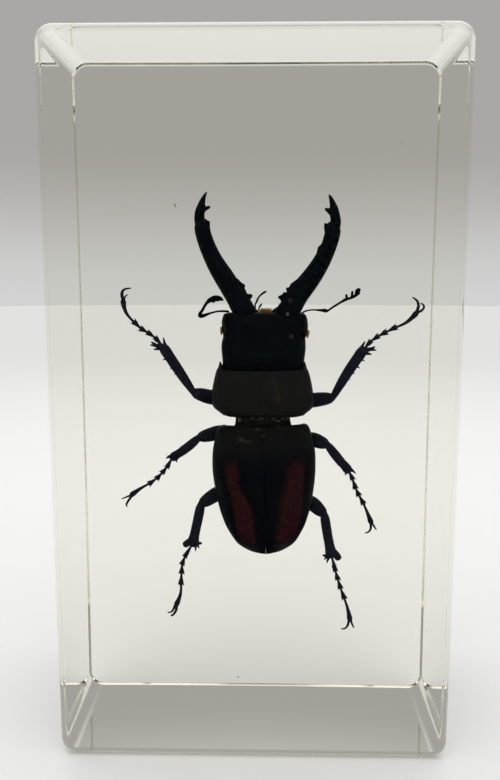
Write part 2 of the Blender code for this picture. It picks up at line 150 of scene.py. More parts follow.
# Lumps: centre, half sizes and turn
HEAD_LUMPS = (
    ((-2.0, -0.1, 16.9), (1.3, 1.3, 1.1), 0.5),
    ((2.3, -0.1, 16.9), (1.4, 1.3, 1.15), -0.5),
    ((-5.9, -1.3, 15.2), (0.5, 0.6, 1.9), 0.05),
    ((6.1, -1.3, 15.0), (0.5, 0.6, 1.9), -0.05),
    ((-1.1, -2.45, 9.75), (1.3, 0.3, 0.22), 0.05),
)
# Eyes, their rims and the painted glints beside them: depth, half sizes and slot, then across, up and turn of
# each
EYE_PARTS = (
    (0.1, (0.56, 1.35, 0.95), EYE, ((-6.12, 14.55, 0.0), (6.3, 14.2, 0.0))),
    (-0.3, (0.2, 0.6, 0.7), AMBER, ((-6.74, 14.3, -0.06), (6.88, 13.8, 0.2))),
    (-1.75, (0.32, 0.22, 0.85), PAINTED_GLINT, ((-6.2, 14.7, 0.05), (6.4, 14.4, -0.1))),
)
PALPS = (
    ((-1.4, 1.3, 17.5, 0.14), (-1.42, 1.8, 18.35, 0.13), (-1.2, 2.0, 18.8, 0.15),
     (-1.05, 2.0, 19.2, 0.17), (-0.82, 1.9, 19.6, 0.13), (-0.4, 1.85, 20.02, 0.16),
     (0.0, 1.8, 20.28, 0.17), (0.28, 1.8, 20.42, 0.13)),
    ((-0.95, 1.3, 17.3, 0.1), (-0.82, 1.7, 17.85, 0.12), (-0.62, 1.8, 18.2, 0.16),
     (-0.4, 1.8, 18.5, 0.11)),
)
BRUSH_HAIRS = 150
BRUSH_ACROSS = (-0.7, 1.1)
PRONOTUM = (
    (0.6, -0.1, 5.6, 1.8, 1.5),
    (0.85, -0.1, 6.25, 2.3, 1.9),
    (1.3, -0.1, 6.8, 2.7, 2.1),
    (2.25, -0.15, 7.85, 3.1, 2.5),
    (3.5, -0.2, 7.98, 3.4, 2.7),
    (4.8, -0.25, 7.88, 3.5, 2.7),
    (6.05, -0.25, 7.66, 3.5, 2.7),
    (7.3, -0.26, 7.36, 3.2, 2.6),
    (8.1, -0.28, 7.1, 2.8, 2.3),
    (8.05, -0.28, 6.5, 2.2, 1.8),
)
FRONT_CORNER_RISE = 1.45
FRONT_CORNER_START = 6.1
FRONT_CORNER_LENGTH = 1.5
FRONT_CORNER_LEAN = 0.3
# Groove down the pronotum: place, half size and depth
GROOVE_ACROSS, GROOVE_UP = -0.2, 4.6
GROOVE_WIDE, GROOVE_LONG = 0.35, 3.0
GROOVE_DEPTH = 0.12
SIDE_RIM, SIDE_RIM_INSET = 0.2, 0.05
REAR_RIM_UP, REAR_RIM_RADIUS = 1.2, 0.16
NECK = (
    (0.9, -0.2, 4.3, 1.5, 1.4),
    (-1.0, -0.1, 4.7, 1.5, 1.9),
)
WING_CASES = (
    (-0.6, 0.0, 6.3, 2.4, 1.9),
    (-0.85, 0.0, 6.95, 3.0, 2.1),
    (-1.6, -0.1, 7.5, 3.4, 2.4),
    (-3.5, -0.05, 7.95, 3.8, 2.7),
    (-5.2, 0.0, 8.26, 3.95, 2.9),
    (-7.6, 0.03, 8.33, 3.95, 2.9),
    (-9.6, 0.09, 8.2, 3.85, 2.85),
    (-11.4, 0.14, 7.95, 3.7, 2.8),
    (-13.6, 0.2, 7.57, 3.5, 2.6),
    (-15.6, 0.25, 7.06, 3.2, 2.4),
    (-17.6, 0.31, 6.33, 2.8, 2.1),
    (-19.6, 0.38, 5.2, 2.3, 1.7),
    (-20.6, 0.4, 4.34, 2.0, 1.5),
    (-21.65, 0.4, 2.6, 1.4, 0.9),
    (-22.05, 0.4, 0.9, 0.9, 0.5),
)
WING_TILT = 0.02
SHELL = 0.45
SUTURE = 0.02
EDGE_DEPTH = 0.3
# Raised rim near the wing's edge, and the rise at the seam: place, height and width
RIM_AT, RIM_HEIGHT, RIM_WIDTH = 0.985, 0.10, 0.012
SEAM_HEIGHT, SEAM_WIDTH = 0.008, 0.03
# Red band of each wing case: its two edges across the wing against the way along it, and
# the width of its inner fade
BANDS = {
    "left": (
        ((0.0, 0.5), (0.274, 0.5), (0.335, 0.47), (0.444, 0.48), (0.553, 0.35), (0.667, 0.26),
         (0.779, 0.25), (0.89, 0.28), (1.0, 0.32)),
        ((0.0, 0.78), (0.335, 0.76), (0.444, 0.745), (0.553, 0.71), (0.667, 0.72),
         (0.779, 0.755), (1.0, 0.9)),
        0.07),
    "right": (
        ((0.0, 0.5), (0.274, 0.44), (0.335, 0.38), (0.444, 0.32), (0.553, 0.28), (0.667, 0.25),
         (0.779, 0.24), (1.0, 0.22)),
        ((0.0, 0.77), (0.335, 0.79), (0.444, 0.79), (0.553, 0.81), (0.667, 0.84),
         (0.779, 0.85), (1.0, 0.9)),
        0.2),
}
BAND_GRAIN = 1500.0
BAND_DETAIL = 5.0
# How far the grain stirs the band's edges, across and along, and the fades of its edges
STIR_ACROSS, STIR_ALONG = 0.12, 0.05
INNER_FADE_START = -0.04
OUTER_FADE = (-0.03, 0.08)
START_FADE = (0.21, 0.33)
END_FADE = (0.84, 0.97)
GRAIN_FADE = (0.2, 0.75)
GRAIN_SHARE = 0.6
FRONT_FADE = (0.12, 0.34)
# Painted sheen: the wing cases turn lighter and lavender grey near their rear, towards the outer edge
PAINTED_SHEEN_FADE = (0.86, 0.97)
PAINTED_SHEEN_ACROSS = (0.3, 0.7)
WING_BAND = (0.043, 0.0090, 0.0116)
WING_FRONT = (0.0088, 0.0092, 0.0096)
WING_PAINTED_SHEEN = (0.022, 0.021, 0.028)
BELLY_CLEARANCE = 0.5
BELLY_TIP = (-21.4, 0.5, 1.5, 0.2, 0.7)
BELLY_SEAMS = (-9.8, -12.4, -14.8, -17.0, -19.0)
BELLY_SEAM_DEPTH, BELLY_SEAM_WIDTH = 0.16, 0.14
BELLY_LUMPS = (
    ((2.2, 2.3, -3.0), (1.6, 1.0, 2.0), 0.5),
    ((2.6, 2.4, -8.6), (2.4, 0.8, 1.1), 0.2),
)

# Jaws, each as drawn: across, up and radius, with their depth at the root and at the tip
JAW_DEPTHS = (-0.6, 0.3)
JAWS = {
    "left": (
        (-2.9, 17.0, 1.7), (-3.6, 18.2, 1.75), (-4.57, 19.9, 1.66), (-6.25, 22.58, 1.58),
        (-7.33, 24.3, 1.46), (-8.2, 25.92, 1.34), (-8.92, 27.6, 1.27), (-9.46, 29.25, 1.23),
        (-9.67, 30.55, 1.21), (-9.95, 31.2, 0.9), (-10.02, 31.6, 0.82), (-9.98, 32.45, 0.77),
        (-9.75, 33.3, 0.67), (-9.55, 34.12, 0.47), (-9.2, 35.0, 0.26), (-8.9, 35.5, 0.12)),
    "right": (
        (3.2, 16.8, 1.7), (4.15, 18.0, 1.75), (5.1, 19.7, 1.72), (7.08, 22.28, 1.56),
        (8.25, 24.0, 1.43), (9.17, 25.65, 1.32), (9.91, 27.3, 1.22), (10.4, 28.95, 1.23),
        (10.57, 30.1, 1.2), (10.86, 30.75, 0.9), (10.92, 31.2, 0.83), (10.8, 32.1, 0.77),
        (10.62, 33.05, 0.66), (10.4, 33.85, 0.47), (10.07, 34.7, 0.28), (9.85, 35.1, 0.12)),
}
# Teeth of the jaws: their outline, across and up, and their thickness
JAW_TEETH = {
    "left": (
        (((-4.6, 22.6), (-4.0, 22.3), (-3.72, 21.95), (-3.42, 21.72), (-3.1, 21.55), (-2.95, 21.3),
          (-3.08, 20.95), (-2.93, 20.7), (-2.78, 20.4), (-2.74, 20.15), (-2.45, 20.02),
          (-2.15, 20.08), (-1.88, 19.95), (-1.8, 19.7), (-1.98, 19.4), (-2.3, 19.12),
          (-2.42, 18.95), (-2.2, 18.6), (-1.85, 18.32), (-1.5, 18.15), (-3.0, 17.3),
          (-4.2, 19.5), (-4.9, 21.5)), 1.3),
        (((-9.6, 29.9), (-9.6, 30.8), (-9.08, 31.08), (-8.85, 31.12), (-8.68, 31.25),
          (-8.45, 31.2), (-8.4, 30.9), (-8.42, 30.3), (-8.55, 29.7)), 0.9),
        (((-9.7, 33.2), (-9.15, 33.5), (-9.0, 33.4), (-8.7, 33.45), (-8.42, 33.52),
          (-8.28, 33.32), (-8.4, 33.08), (-8.9, 32.8), (-9.15, 32.5), (-9.3, 32.1),
          (-9.9, 32.1)), 0.6)),
    "right": (
        (((5.5, 22.65), (4.9, 22.22), (4.45, 21.88), (4.1, 21.62), (3.95, 21.35), (3.9, 21.1),
          (3.5, 21.05), (3.33, 20.85), (3.42, 20.6), (3.55, 20.3), (3.3, 20.3), (2.95, 20.35),
          (2.88, 20.05), (2.55, 19.88), (2.15, 19.68), (2.12, 19.45), (2.45, 19.15), (2.7, 18.8),
          (2.65, 18.6), (2.3, 18.35), (3.2, 17.3), (4.6, 19.5), (5.8, 21.8)), 1.3),
        (((10.5, 30.1), (10.3, 30.6), (9.9, 30.62), (9.75, 30.65), (9.6, 30.75), (9.4, 30.92), (9.2, 30.85),
          (9.14, 30.5), (9.18, 29.8), (9.4, 29.2), (10.3, 29.2)), 0.9),
        (((10.6, 33.3), (9.98, 33.22), (9.92, 33.08), (9.7, 33.1), (9.4, 33.2), (9.2, 33.02), (9.25, 32.78),
          (9.58, 32.48), (9.93, 32.1), (10.13, 31.7), (10.7, 31.9)), 0.6),
        (((8.95, 27.95), (8.55, 27.5), (8.28, 27.28), (8.18, 26.95), (8.05, 26.4), (8.7, 26.4)), 0.8)),
}

# Antennae: the stem and its leaves as across, up and radius, and the outline of a closed club
ANTENNA_DEPTH = 0.6
CLUB_THICKNESS = 0.4
ANTENNAE = {
    "left": (
        ((-5.6, 17.3, 0.18), (-6.5, 17.35, 0.18), (-7.2, 17.32, 0.16), (-8.0, 17.17, 0.16),
         (-8.6, 16.98, 0.19), (-9.1, 16.8, 0.25), (-9.6, 16.62, 0.3), (-10.05, 16.6, 0.33),
         (-10.08, 16.95, 0.28), (-9.75, 17.4, 0.24), (-9.42, 18.0, 0.24), (-9.1, 18.5, 0.24),
         (-8.8, 18.9, 0.26)),
        (((-8.7, 19.05, 0.3), (-8.0, 19.3, 0.4), (-7.3, 19.4, 0.42), (-6.75, 19.25, 0.32)),),
        ((-8.95, 19.1), (-8.62, 19.42), (-8.1, 19.74), (-7.5, 19.84), (-6.93, 19.7),
         (-6.5, 19.35), (-6.33, 19.05), (-6.45, 18.92), (-6.8, 18.98), (-7.1, 18.93),
         (-7.35, 18.82), (-7.58, 18.93), (-7.72, 18.72), (-7.9, 18.62), (-8.1, 18.7),
         (-8.4, 18.72), (-8.7, 18.55), (-8.9, 18.5)),
    ),
    "right": (
        ((5.6, 16.95, 0.15), (6.0, 17.15, 0.14), (6.5, 17.4, 0.14), (7.2, 17.55, 0.13),
         (8.0, 17.57, 0.14), (8.6, 17.53, 0.18), (9.1, 17.5, 0.25), (9.5, 17.47, 0.32),
         (9.76, 17.42, 0.26), (10.05, 17.53, 0.17), (10.6, 17.93, 0.17), (11.2, 18.3, 0.18),
         (11.9, 18.75, 0.19), (12.4, 19.02, 0.22), (12.9, 19.25, 0.21), (13.5, 19.45, 0.22),
         (14.1, 19.75, 0.25), (14.7, 20.25, 0.3)),
        (((12.6, 19.1, 0.12), (12.4, 19.36, 0.1)), ((12.85, 19.25, 0.2), (12.78, 19.9, 0.2)),
         ((13.62, 19.5, 0.2), (13.7, 20.4, 0.2)),
         ((14.35, 20.05, 0.3), (14.52, 20.5, 0.4), (14.75, 20.72, 0.32))),
        (),
    ),
}

# Legs: side of the body, knee, shin, ankle, then the five joints of the foot
LEGS = {
    "leg_front_left": (
        (-8.3, 3.68), (-11.2, 4.42), (-13.45, 7.82), (-15.97, 11.72),
        (-17.12, 13.12), (-18.3, 13.95), (-19.36, 14.55), (-20.44, 15.6), (-22.12, 18.95)),
    "leg_front_right": (
        (7.65, 3.26), (10.9, 3.68), (13.08, 7.55), (15.6, 11.35),
        (16.68, 12.65), (17.82, 13.45), (19.05, 14.1), (20.55, 14.88), (23.78, 17.2)),
    "leg_middle_left": (
        (-7.2, -2.05), (-10.4, -2.85), (-12.4, -4.62), (-14.75, -6.2),
        (-15.58, -7.7), (-16.38, -8.63), (-17.23, -9.58), (-18.48, -10.48), (-21.45, -12.4)),
    "leg_middle_right": (
        (7.75, -3.1), (10.15, -3.87), (11.82, -6.05), (13.65, -8.15),
        (14.3, -9.5), (14.8, -11.0), (15.35, -12.15), (16.1, -13.5), (17.45, -16.75)),
    "leg_hind_left": (
        (-7.65, -12.2), (-10.15, -13.85), (-10.82, -17.0), (-11.6, -20.6),
        (-12.85, -22.7), (-13.35, -24.0), (-13.47, -25.5), (-13.58, -27.4), (-14.42, -31.1)),
    "leg_hind_right": (
        (7.75, -13.6), (9.85, -15.4), (10.38, -18.7), (11.12, -22.35),
        (11.78, -24.93), (12.18, -26.33), (12.65, -27.85), (13.3, -29.6), (14.32, -33.35)),
}
# Depths and radii of the thigh: at the hip, half way, at the body's side, towards the knee, at it
HIP_ACROSS = 2.9
THIGH = ((4.3, 0.9), (3.9, 1.12), (2.9, 1.22), (2.1, 1.08), (1.7, 0.82), (1.6, 0.6))
SHIN_DEPTH, SHIN_SLOPE = 1.6, 0.2
SPINE_DEPTH = 1.45
SHIN_MARKS = (0.0, 0.12, 0.35, 0.6, 0.8, 0.93, 1.0)
# Share of the length and radius of a foot joint's base, and of the last joint
JOINT_SHAPE = ((0.02, 0.18), (0.3, 0.2), (0.6, 0.29))
LAST_JOINT = ((0.02, 0.19), (0.25, 0.21), (0.5, 0.27), (0.75, 0.36), (0.92, 0.46), (1.0, 0.4))
HIP_RISE = {"front": -0.6, "middle": 0.2, "hind": 3.2}
SHIN_WIDTHS = {
    "front": (0.5, 0.62, 0.77, 0.84, 0.85, 0.88, 0.74),
    "middle": (0.5, 0.66, 0.76, 0.74, 0.7, 0.78, 0.66),
    "hind": (0.55, 0.76, 0.8, 0.78, 0.82, 0.95, 0.8),
}
JOINT_WIDTHS = (0.37, 0.4, 0.42, 0.42)
FOOT_DEPTH = 1.3
LEG_HAIRS = 170
# How far the last joint of each foot bows, across and up
JOINT_BENDS = {
    "leg_front_left": (-0.42, -0.15),
    "leg_front_right": (0.16, -0.3),
    "leg_middle_left": (0.0, 0.12),
    "leg_middle_right": (0.02, 0.04),
    "leg_hind_left": (0.3, 0.0),
    "leg_hind_right": (0.1, 0.03),
}
# Claws: radius where they start, and places
CLAW_TIP = 0.1
CLAWS = {
    "leg_front_left": (
        (0.3, ((-22.07, 19.1), (-22.28, 19.8), (-22.18, 20.4), (-21.75, 20.78), (-20.9, 20.92))),
        (0.14, ((-21.95, 19.1), (-21.78, 19.57), (-21.45, 19.9)))),
    "leg_front_right": (
        (0.26, ((23.71, 17.25), (24.0, 18.1), (23.85, 18.85), (23.5, 19.25), (23.05, 19.52))),
        (0.22, ((23.8, 17.2), (24.5, 17.5), (24.86, 18.0), (24.72, 18.42), (24.35, 18.6)))),
    "leg_middle_left": (
        (0.17, ((-21.3, -12.35), (-22.21, -12.72), (-23.03, -13.05))),
        (0.22, ((-21.4, -12.55), (-22.01, -13.4), (-22.33, -14.0), (-22.2, -14.35)))),
    "leg_middle_right": (
        (0.22, ((17.35, -16.7), (17.42, -17.7), (17.12, -18.3), (16.55, -18.55))),
        (0.2, ((17.5, -16.7), (17.92, -17.35), (18.3, -17.95)))),
    "leg_hind_left": (
        (0.26, ((-14.35, -30.9), (-14.45, -32.05), (-15.05, -32.9), (-15.3, -32.8))),
        (0.2, ((-14.6, -31.1), (-15.1, -32.2), (-15.8, -32.42)))),
    "leg_hind_right": (
        (0.24, ((14.2, -33.2), (14.02, -34.2), (13.6, -34.85), (12.95, -35.0))),
        (0.2, ((14.42, -33.2), (14.68, -34.05), (14.98, -34.72)))),
}
# Spines and lobes of the shins: foot radius, tip radius and places
LEG_SPINES = {
    "leg_front_left": (
        (0.3, 0.05, ((-13.4, 7.6), (-14.22, 7.3))), (0.3, 0.05, ((-14.2, 8.7), (-14.92, 8.2))),
        (0.32, 0.05, ((-15.2, 10.0), (-16.05, 9.6))), (0.3, 0.05, ((-12.6, 6.3), (-13.15, 5.95))),
        (0.37, 0.1, ((-16.2, 11.7), (-16.85, 11.38), (-17.42, 11.34))),
        (0.42, 0.14, ((-16.2, 11.95), (-16.95, 11.9), (-17.45, 12.25), (-17.75, 12.45))),
        (0.3, 0.1, ((-16.9, 11.85), (-17.5, 11.95), (-17.98, 12.0))),
        (0.28, 0.1, ((-15.6, 11.9), (-15.78, 12.6), (-15.86, 13.15)))),
    "leg_front_right": (
        (0.3, 0.05, ((12.2, 6.0), (12.92, 5.66))), (0.3, 0.05, ((12.9, 7.0), (13.62, 6.6))),
        (0.3, 0.05, ((13.6, 7.9), (14.33, 7.52))), (0.32, 0.05, ((14.3, 8.9), (15.13, 8.42))),
        (0.32, 0.05, ((15.0, 9.95), (15.85, 9.56))),
        (0.37, 0.1, ((15.8, 11.0), (16.35, 10.72), (16.85, 10.66))),
        (0.42, 0.14, ((15.8, 11.3), (16.6, 11.4), (17.05, 11.6), (17.35, 11.8))),
        (0.3, 0.1, ((16.4, 11.4), (17.05, 11.35), (17.6, 11.28))),
        (0.28, 0.1, ((15.25, 11.6), (15.58, 12.2), (15.82, 12.62)))),
    "leg_middle_left": (
        (0.32, 0.08, ((-14.9, -5.95), (-15.45, -6.12), (-15.72, -6.32))),
        (0.32, 0.05, ((-14.3, -6.2), (-14.1, -6.6), (-13.98, -7.0)))),
    "leg_middle_right": (
        (0.32, 0.06, ((14.0, -8.0), (14.45, -8.3), (14.85, -8.65))),
        (0.32, 0.06, ((13.5, -8.3), (13.25, -8.6), (13.15, -8.95)))),
    "leg_hind_left": (
        (0.66, 0.56, ((-11.5, -19.9), (-12.25, -20.35), (-12.8, -20.75))),
        (0.35, 0.2, ((-11.0, -20.35), (-10.5, -20.5), (-10.2, -20.45))),
        (0.3, 0.08, ((-11.0, -20.55), (-10.7, -21.0), (-10.55, -21.3))),
        (0.32, 0.06, ((-11.2, -20.6), (-11.1, -21.3), (-11.17, -21.85)))),
    "leg_hind_right": (
        (0.66, 0.58, ((11.3, -21.7), (11.85, -22.25), (12.25, -22.8))),
        (0.35, 0.2, ((10.7, -22.2), (10.2, -22.4), (9.8, -22.4))),
        (0.3, 0.08, ((10.6, -22.4), (10.2, -22.8), (9.98, -23.1))),
        (0.32, 0.06, ((10.8, -22.5), (10.5, -23.2), (10.38, -23.7)))),
}

# Marks as seen: across, up, half width, half height, turn and kind (0 crumb, 1 film of air, on the head ridge
# a painted glint, 2 trapped air and a bubble, their silver a painted reflection)
BUBBLE_DEPTH = -3.7
MARKS = (
    (PRONOTUM, (
        (1.95, 3.75, 0.75, 0.55, 0.2, 0), (2.25, 3.4, 0.4, 0.42, 0.0, 0), (1.35, 3.6, 0.4, 0.25, 0.3, 0),
        (2.05, 4.5, 0.22, 0.75, 0.1, 1), (1.85, 5.4, 0.2, 0.6, 0.15, 1), (1.6, 6.3, 0.3, 0.55, 0.25, 1),
        (1.2, 7.1, 0.35, 0.4, 0.6, 1), (-5.6, 1.6, 1.0, 0.16, 0.0, 1), (-3.9, 1.55, 0.7, 0.12, 0.0, 1),
        (5.2, 1.7, 0.35, 0.16, 0.4, 1), (6.0, 1.6, 0.25, 0.12, 0.0, 1))),
    # Painted glints along the ridge of the head at the neck
    (HEAD, (
        (-1.9, 9.8, 0.45, 0.09, 0.1, 1), (-0.9, 9.95, 0.5, 0.08, -0.1, 1), (-1.6, 9.55, 0.3, 0.06, 0.2, 1),
        (2.4, 9.7, 0.2, 0.08, 0.3, 1))),
    (NECK, (
        (-3.9, 0.1, 0.28, 0.42, 0.1, 2), (-1.9, 0.35, 0.35, 0.2, 0.4, 2), (-1.2, 0.1, 0.5, 0.22, -0.1, 1),
        (-0.5, 0.3, 0.45, 0.18, 0.3, 2), (0.35, 0.15, 0.4, 0.2, 0.1, 1), (1.5, 0.25, 0.35, 0.16, 0.5, 2),
        (2.2, -0.1, 0.4, 0.15, 0.1, 2), (3.0, 0.2, 0.3, 0.16, -0.3, 2), (3.7, 0.3, 0.25, 0.2, 0.2, 2),
        (-0.6, -0.35, 0.6, 0.22, 0.0, 1), (0.9, -0.3, 0.3, 0.15, 0.2, 1), (-2.6, -0.2, 0.3, 0.15, 0.3, 1))),
    (WING_CASES, (
        (2.2, -1.2, 0.45, 0.16, 0.3, 1), (3.1, -1.3, 0.3, 0.12, 0.0, 1), (-1.0, -1.5, 0.6, 0.3, 0.2, 1),
        (-2.4, -1.6, 0.4, 0.18, 0.4, 1), (-0.1, -2.6, 0.4, 0.26, 0.3, 1), (-3.7, -3.1, 0.75, 0.42, 0.2, 1),
        (-3.0, -3.5, 0.75, 0.35, 0.3, 1), (-3.5, -3.3, 0.35, 0.22, 0.1, 2), (-2.3, -3.6, 0.3, 0.35, 0.1, 1))),
    # In the resin: a bubble painted with a silver highlight, and two dull films
    (None, (
        (3.65, 16.92, 0.27, 0.27, 0.0, 2), (4.1, 19.0, 0.4, 0.4, 0.0, 1), (4.3, 13.4, 0.35, 0.4, 0.0, 1))),
)
LINT = (
    ((-13.85, 0.0, 33.85, 0.05), (-13.8, 0.0, 33.55, 0.07), (-13.6, 0.0, 33.25, 0.05)),
    ((20.8, 0.0, 42.8, 0.05), (20.9, 0.0, 42.85, 0.05)),
    ((-4.25, 0.0, -43.65, 0.1), (-4.1, 0.0, -43.67, 0.1)),
    ((27.0, 0.0, -35.0, 0.05), (27.1, 0.0, -35.05, 0.05)),
)


def principled(name, **values):
    material = bpy.data.materials.new(name)
    material.use_nodes = True
    shader = material.node_tree.nodes["Principled BSDF"]
    for key, value in values.items():
        shader.inputs[key.replace("_", " ")].default_value = value
    return material, material.node_tree.nodes, material.node_tree.links, shader


def new_object(name, mesh):
    obj = bpy.data.objects.new(name, mesh)
    bpy.context.scene.collection.objects.link(obj)
    return obj


def mesh_of(bm, name):
    mesh = bpy.data.meshes.new(name)
    bm.to_mesh(mesh)
    bm.free()
    return mesh


def make_camera():
    forward = Vector((math.sin(CAMERA_YAW) * math.cos(CAMERA_PITCH),
                      math.cos(CAMERA_YAW) * math.cos(CAMERA_PITCH),
                      -math.sin(CAMERA_PITCH)))
    right = Vector((math.cos(CAMERA_YAW), -math.sin(CAMERA_YAW), 0.0))
    up = right.cross(forward)
    c, s = math.cos(CAMERA_ROLL), math.sin(CAMERA_ROLL)
    right, up = c * right + s * up, c * up - s * right
    data = bpy.data.cameras.new("camera")
    data.sensor_width = SENSOR
    data.lens = FOCAL_PIXELS / PIXELS_HIGH * SENSOR
    data.clip_start = NEAR_CLIP
    data.clip_end = FAR_CLIP
    camera = new_object("camera", data)
    turn = Matrix((right, up, -forward)).transposed().to_4x4()
    camera.matrix_world = Matrix.Translation(CAMERA_AT) @ turn
    bpy.context.scene.camera = camera


def outline(inset):
    """The block's outline, drawn in by this much."""
    radius = CORNER_RADIUS - inset
    points = []
    for corner in range(4):
        cx = (WIDTH / 2 - CORNER_RADIUS) * (1 if corner in (0, 3) else -1)
        cz = HEIGHT / 2 + (HEIGHT / 2 - CORNER_RADIUS) * (1 if corner in (0, 1) else -1)
        for step in range(ROUND_STEPS + 1):
            turn = (corner + step / ROUND_STEPS) * math.pi / 2
            points.append((cx + radius * math.cos(turn), cz + radius * math.sin(turn)))
    return points


def make_block():
    bm = bmesh.new()
    rings = []
    for side in (-1, 1):
        for step in range(ROUND_STEPS + 1):
            turn = step / ROUND_STEPS * math.pi / 2
            if side > 0:
                turn = math.pi / 2 - turn
            rim = REAR_RIM if side > 0 else FRONT_RIM
            inset = rim * (1 - math.sin(turn))
            y = side * (DEPTH / 2 - rim * (1 - math.cos(turn)))
            rings.append([bm.verts.new((x, y, z)) for x, z in outline(inset)])
    for first, second in zip(rings, rings[1:]):
        for i in range(len(first)):
            j = (i + 1) % len(first)
            bm.faces.new((first[i], first[j], second[j], second[i]))
    bm.faces.new(rings[0])
    bm.faces.new(rings[-1])
    bmesh.ops.recalc_face_normals(bm, faces=bm.faces)
    block = new_object("resin_block", mesh_of(bm, "resin_block"))
    block.data.shade_smooth()
    weighted = block.modifiers.new("flat_faces", "WEIGHTED_NORMAL")
    weighted.weight = FLATNESS
    weighted.mode = "FACE_AREA"
    material, nodes, links, shader = principled(
        "clear_resin", Base_Color=(1.0, 1.0, 1.0, 1.0), Roughness=0.0,
        Transmission_Weight=1.0, IOR=RESIN_IOR, Specular_Tint=(RESIN_GLARE, RESIN_GLARE, RESIN_GLARE, 1.0))
    colour, density = RESIN_ABSORPTION
    absorption = nodes.new("ShaderNodeVolumeAbsorption")
    absorption.inputs["Color"].default_value = (*colour, 1.0)
    absorption.inputs["Density"].default_value = density
    links.new(absorption.outputs["Volume"], nodes["Material Output"].inputs["Volume"])
    block.data.materials.append(material)
    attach(block, "root")
    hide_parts("block_front", "block_back")


def make_floor():
    bm = bmesh.new()
    bmesh.ops.create_circle(bm, cap_ends=True, segments=FLOOR_SIDES, radius=FLOOR_RADIUS)
    floor = new_object("floor", mesh_of(bm, "floor"))
    floor.location.z = -FLOOR_GAP
    material, nodes, links, shader = principled("pale_floor", Roughness=FLOOR_ROUGHNESS)
    # The floor's colour is a painted falloff of light: paler near the block, darker further out
    place = nodes.new("ShaderNodeTexCoord")
    distance = nodes.new("ShaderNodeVectorMath")
    distance.operation = "LENGTH"
    fade = nodes.new("ShaderNodeMapRange")
    fade.interpolation_type = "SMOOTHSTEP"
    fade.inputs["From Min"].default_value = FLOOR_PAINTED_FALLOFF[0]
    fade.inputs["From Max"].default_value = FLOOR_PAINTED_FALLOFF[1]
    tone = nodes.new("ShaderNodeMix")
    tone.data_type = "RGBA"
    tone.inputs["A"].default_value = (*FLOOR_PAINTED_NEAR, 1.0)
    tone.inputs["B"].default_value = (*FLOOR_PAINTED_FAR, 1.0)
    links.new(place.outputs["Object"], distance.inputs[0])
    links.new(distance.outputs["Value"], fade.inputs["Value"])
    links.new(fade.outputs["Result"], tone.inputs["Factor"])
    links.new(tone.outputs["Result"], shader.inputs["Base Color"])
    floor.data.materials.append(material)


def make_world():
    """Plain soft light from all round, brightest overhead."""
    world = bpy.data.worlds.new("studio")
    bpy.context.scene.world = world
    world.use_nodes = True
    nodes, links = world.node_tree.nodes, world.node_tree.links
    place = nodes.new("ShaderNodeTexCoord")
    split = nodes.new("ShaderNodeSeparateXYZ")
    height = nodes.new("ShaderNodeMapRange")
    low, high = STUDIO[0][0], STUDIO[-1][0]
    height.inputs["From Min"].default_value = low
    height.inputs["From Max"].default_value = high
    tones = nodes.new("ShaderNodeValToRGB")
    tones.color_ramp.interpolation = "EASE"
    links.new(place.outputs["Generated"], split.inputs[0])
    links.new(split.outputs["Z"], height.inputs["Value"])
    links.new(height.outputs["Result"], tones.inputs["Fac"])
    links.new(tones.outputs["Color"], nodes["Background"].inputs["Color"])
    stops = tones.color_ramp.elements
    for _ in STUDIO[2:]:
        stops.new(0.5)
    for stop, (elevation, tone) in zip(stops, STUDIO):
        stop.position = (elevation - low) / (high - low)
        stop.color = (*[value / WORLD_SCALE for value in tone], 1.0)
    nodes["Background"].inputs["Strength"].default_value = WORLD_SCALE


def spot(across, depth, up):
    """A place on the beetle, given in millimetres from its waist."""
    return (WAIST + Vector((across, depth, up))) * MM


def aim(across, depth, up):
    """The place at this depth that the camera sees at this height and width of the middle plane."""
    spread = depth / SIGHT_LENGTH
    return spot(across + (across - SIGHT_ACROSS) * spread, depth, up + (up - SIGHT_UP) * spread)


def smooth(rows, steps):
    """More rows, on a smooth curve through the given ones."""
    result = []
    last = len(rows) - 1
    for i in range(last):
        a, b, c, d = rows[max(i - 1, 0)], rows[i], rows[i + 1], rows[min(i + 2, last)]
        for step in range(steps):
            t = step / steps
            result.append([
                q + 0.5 * t * (r - p + t * (2 * p - 5 * q + 4 * r - s + t * (3 * q - p - 3 * r + s)))
                for p, q, r, s in zip(a, b, c, d)])
    result.append(list(rows[-1]))
    return result


def bridge(bm, rings):
    """Faces between rings of points, with both ends closed."""
    loops = [[bm.verts.new(point) for point in ring] for ring in rings]
    count = len(loops[0])
    for first, second in zip(loops, loops[1:]):
        for i in range(count):
            j = (i + 1) % count
            bm.faces.new((first[i], first[j], second[j], second[i]))
    bm.faces.new(loops[0])
    bm.faces.new(loops[-1])


def sweep(bm, rows, sides=14, flat=1.0, steps=5, place=aim):
    """A round limb with blunt ends through rows of across, depth, up and radius."""
    rows = smooth(rows, steps) if steps > 1 else rows
    points = [place(*row[:3]) for row in rows]
    radii = [max(row[3], 0.008) * MM for row in rows]
    rings = []
    ways = []
    for i in range(len(points)):
        along = (points[min(i + 1, len(points) - 1)] - points[max(i - 1, 0)]).normalized()
        side = along.cross(Vector((0.0, 1.0, 0.0))).normalized()
        ways.append((along, side, side.cross(along)))
    stations = [(points[0] - ways[0][0] * radii[0] * 0.7 * math.sin(a), radii[0] * math.cos(a), ways[0])
                for a in (1.35, 0.9, 0.45)]
    stations += list(zip(points, radii, ways))
    stations += [(points[-1] + ways[-1][0] * radii[-1] * 0.7 * math.sin(a), radii[-1] * math.cos(a), ways[-1])
                 for a in (0.45, 0.9, 1.35)]
    for point, radius, (_, side, deep) in stations:
        rings.append([
            point + radius * (side * math.cos(2 * math.pi * i / sides)
                              + deep * math.sin(2 * math.pi * i / sides) * flat)
            for i in range(sides)])
    bridge(bm, rings)


